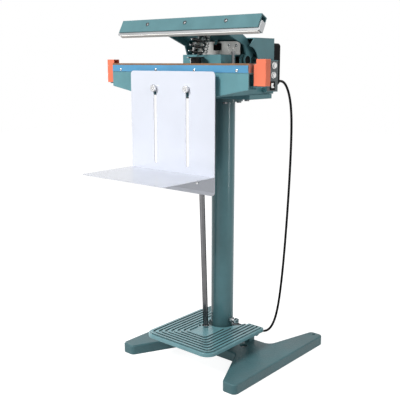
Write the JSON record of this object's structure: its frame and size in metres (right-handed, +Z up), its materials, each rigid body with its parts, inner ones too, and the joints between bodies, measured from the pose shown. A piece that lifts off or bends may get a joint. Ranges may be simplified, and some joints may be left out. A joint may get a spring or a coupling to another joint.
{
  "type": "impulse heat sealer",
  "caption": "Floor-standing impulse heat sealer: a sprung jaw on a column closes on a heated bar when a foot pedal pulls the rod; a work table hangs in front.",
  "frame": {"origin": "on the floor, on the column's axis", "axes": "+X to the operator's right along the sealing bar, +Y to the back, +Z up"},
  "size_m": [0.543, 0.6206, 0.9525],
  "materials": {
    "green_paint": "hammered gloss",
    "bright_steel": "bright",
    "plain_steel": "zinc plated",
    "aluminium_bar": "extruded satin",
    "brown_cloth": "coated glass cloth",
    "blue_anodised": "anodised",
    "orange_plastic": "moulded",
    "brass": "machined",
    "ribbon": "drawn",
    "white_silicone": "soft",
    "black_steel": "black oxide",
    "black_plastic": "moulded",
    "cord_rubber": "smooth",
    "panel_grey": "satin",
    "white_plastic": "moulded",
    "red_plastic": "moulded",
    "board_green": "laminate",
    "winding": "wrapped",
    "white_sheet": "gloss white"
  },
  "bodies": {
    "frame": {"base_casting": "green_paint", "column_tube": "green_paint", "column_lock_bolt": "bright_steel", "head_bolts": "bright_steel", "head_plate": "green_paint", "pedal_bearing_blocks": "green_paint", "pedal_axle": "bright_steel", "body_tray": "green_paint", "deck_plate": "green_paint", "front_beam": "green_paint", "lower_sealing_bar": "aluminium_bar", "heating_ribbon": "ribbon", "cover_cloth": "brown_cloth", "blue_clamp_strip": "blue_anodised", "head_screws": "bright_steel", "end_caps": "orange_plastic", "electrode_blocks": "brass", "pivot_ears": "green_paint", "pivot_shaft": "black_steel", "spring_seat": "black_steel", "main_return_spring": "black_steel", "second_spring": "bright_steel", "wiring_cover": "green_paint", "stop_bolt": "bright_steel", "rear_housing": "green_paint", "rear_cover": "black_plastic", "switch_plate": "plain_steel", "micro_switch_body": "black_plastic", "control_box": "green_paint", "control_panel": "panel_grey", "timer_board": "board_green", "power_switch_body": "black_plastic", "transformer_core": "plain_steel", "transformer_winding": "winding", "table_spacers": "bright_steel", "strain_relief": "black_plastic", "cord_free": "cord_rubber", "cord_coil": "cord_rubber", "cord_tie": "black_plastic", "plug": "black_plastic"},
    "upper_jaw": {"jaw_channel": "green_paint", "jaw_screws": "bright_steel", "press_bar": "aluminium_bar", "silicone_strip": "white_silicone", "arm_sides": "green_paint", "arm_top_plate": "green_paint", "pivot_bushes": "black_steel", "rod_yoke": "plain_steel"},
    "pedal": {"pedal_plate": "green_paint", "rod_foot_pin": "bright_steel"},
    "pull_rod": {"pull_rod": "bright_steel"},
    "table": {"table_back_plate": "white_sheet", "table_shelf": "white_sheet", "shelf_screws": "bright_steel"},
    "thumb_knob_left": {"thumb_knob_left": "bright_steel"},
    "thumb_knob_right": {"thumb_knob_right": "bright_steel"},
    "seal_timer_knob": {"seal_timer_knob": "white_plastic"},
    "cool_timer_knob": {"cool_timer_knob": "white_plastic"},
    "power_rocker": {"power_rocker": "white_plastic"},
    "micro_switch_plunger": {"micro_switch_plunger": "red_plastic"}
  },
  "joints": [
    {"name": "jaw_hinge", "type": "hinge", "parent": "frame", "child": "upper_jaw", "pos_m": [0, -0.03, 0.846], "axis": [1, 0, 0], "range_deg": [0, 28], "stiffness_Nm_per_rad": 30, "springref_deg": -28.65, "deforming": ["main_return_spring", "second_spring"]},
    {"name": "pedal_hinge", "type": "hinge", "parent": "frame", "child": "pedal", "pos_m": [0, 0.05, 0.06], "axis": [1, 0, 0], "range_deg": [0, 15.7]},
    {"name": "rod_foot_hinge", "type": "hinge", "parent": "pedal", "child": "pull_rod", "pos_m": [-0.022, -0.049, 0.08], "axis": [1, 0, 0], "range_deg": [-15.6, 0]},
    {"name": "table_slide", "type": "slide", "parent": "frame", "child": "table", "axis": [0, 0, 1], "range_m": [0, 0.185]},
    {"name": "thumb_knob_left_turn", "type": "hinge", "parent": "frame", "child": "thumb_knob_left", "pos_m": [-0.056, -0.22, 0.775], "axis": [0, 1, 0], "continuous": true},
    {"name": "thumb_knob_right_turn", "type": "hinge", "parent": "frame", "child": "thumb_knob_right", "pos_m": [0.056, -0.22, 0.775], "axis": [0, 1, 0], "continuous": true},
    {"name": "seal_timer_turn", "type": "hinge", "parent": "frame", "child": "seal_timer_knob", "pos_m": [0.141, 0.034, 0.832], "axis": [1, 0, 0], "range_deg": [-270, 0]},
    {"name": "cool_timer_turn", "type": "hinge", "parent": "frame", "child": "cool_timer_knob", "pos_m": [0.141, 0.031, 0.807], "axis": [1, 0, 0], "range_deg": [-270, 0]},
    {"name": "power_rocker_tilt", "type": "hinge", "parent": "frame", "child": "power_rocker", "pos_m": [0.13815, 0.031, 0.779], "axis": [0, 1, 0], "range_deg": [0, 18]},
    {"name": "micro_switch_travel", "type": "slide", "parent": "frame", "child": "micro_switch_plunger", "axis": [0, -1, 0], "range_m": [0, 0.0026]}
  ],
  "couplings": [
    {"joint": "pedal_hinge", "follows": "jaw_hinge", "ratio": 0.55786},
    {"joint": "rod_foot_hinge", "follows": "jaw_hinge", "ratio": -0.55506},
    {"joint": "micro_switch_travel", "follows": "jaw_hinge", "m_per_rad": 0.0051}
  ]
}
